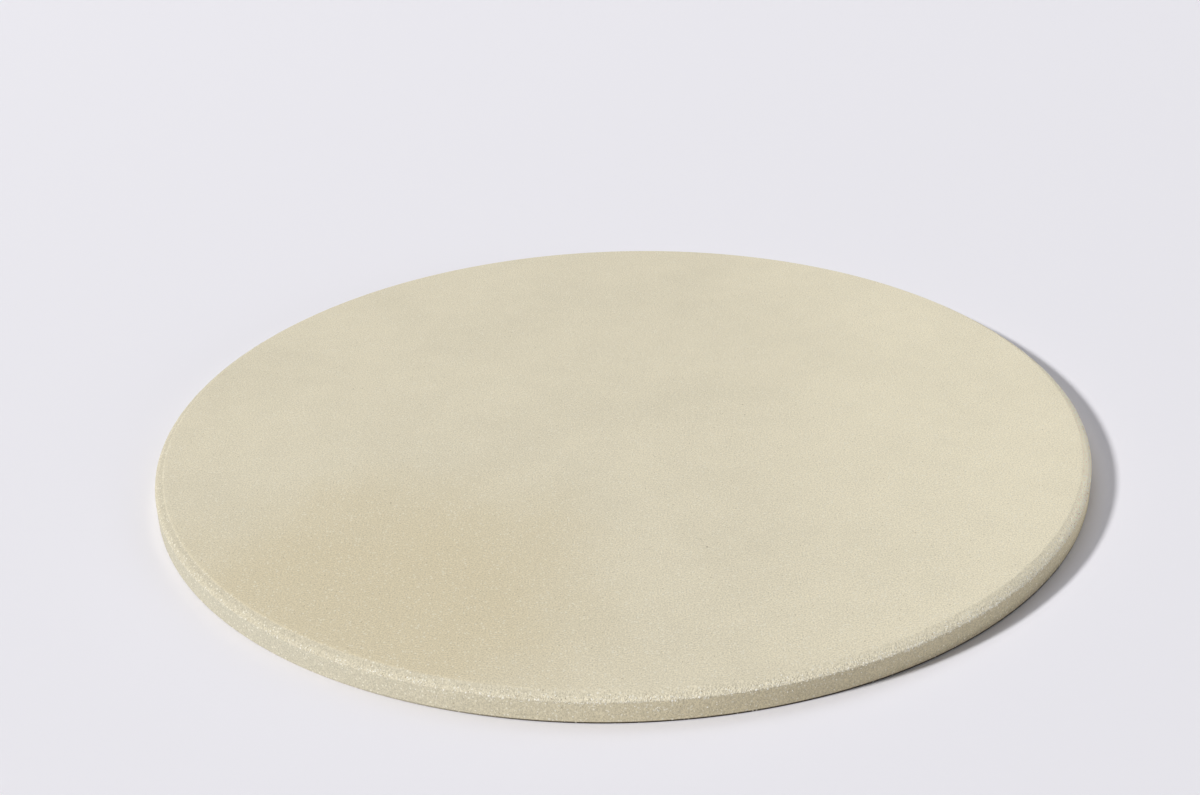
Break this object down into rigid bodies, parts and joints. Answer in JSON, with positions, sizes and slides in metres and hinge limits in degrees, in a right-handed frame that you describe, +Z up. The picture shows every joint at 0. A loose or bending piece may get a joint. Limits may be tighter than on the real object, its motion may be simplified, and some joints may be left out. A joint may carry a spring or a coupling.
{
  "type": "pizza stone",
  "caption": "Round flat baking stone of unglazed fired ceramic, with a bevelled rim round its baking face and a plain flat underside.",
  "frame": {"origin": "centre of the underside, on the surface that the stone lies on", "axes": "+Z up, out of the baking face; X and Y lie in the underside, and the stone is round about Z"},
  "size_m": [0.381, 0.381, 0.0104],
  "materials": {
    "fired_stone": "unglazed, dry and matt, with a fine sandy grain"
  },
  "bodies": {
    "root": {"baking_stone": "fired_stone"}
  },
  "joints": []
}
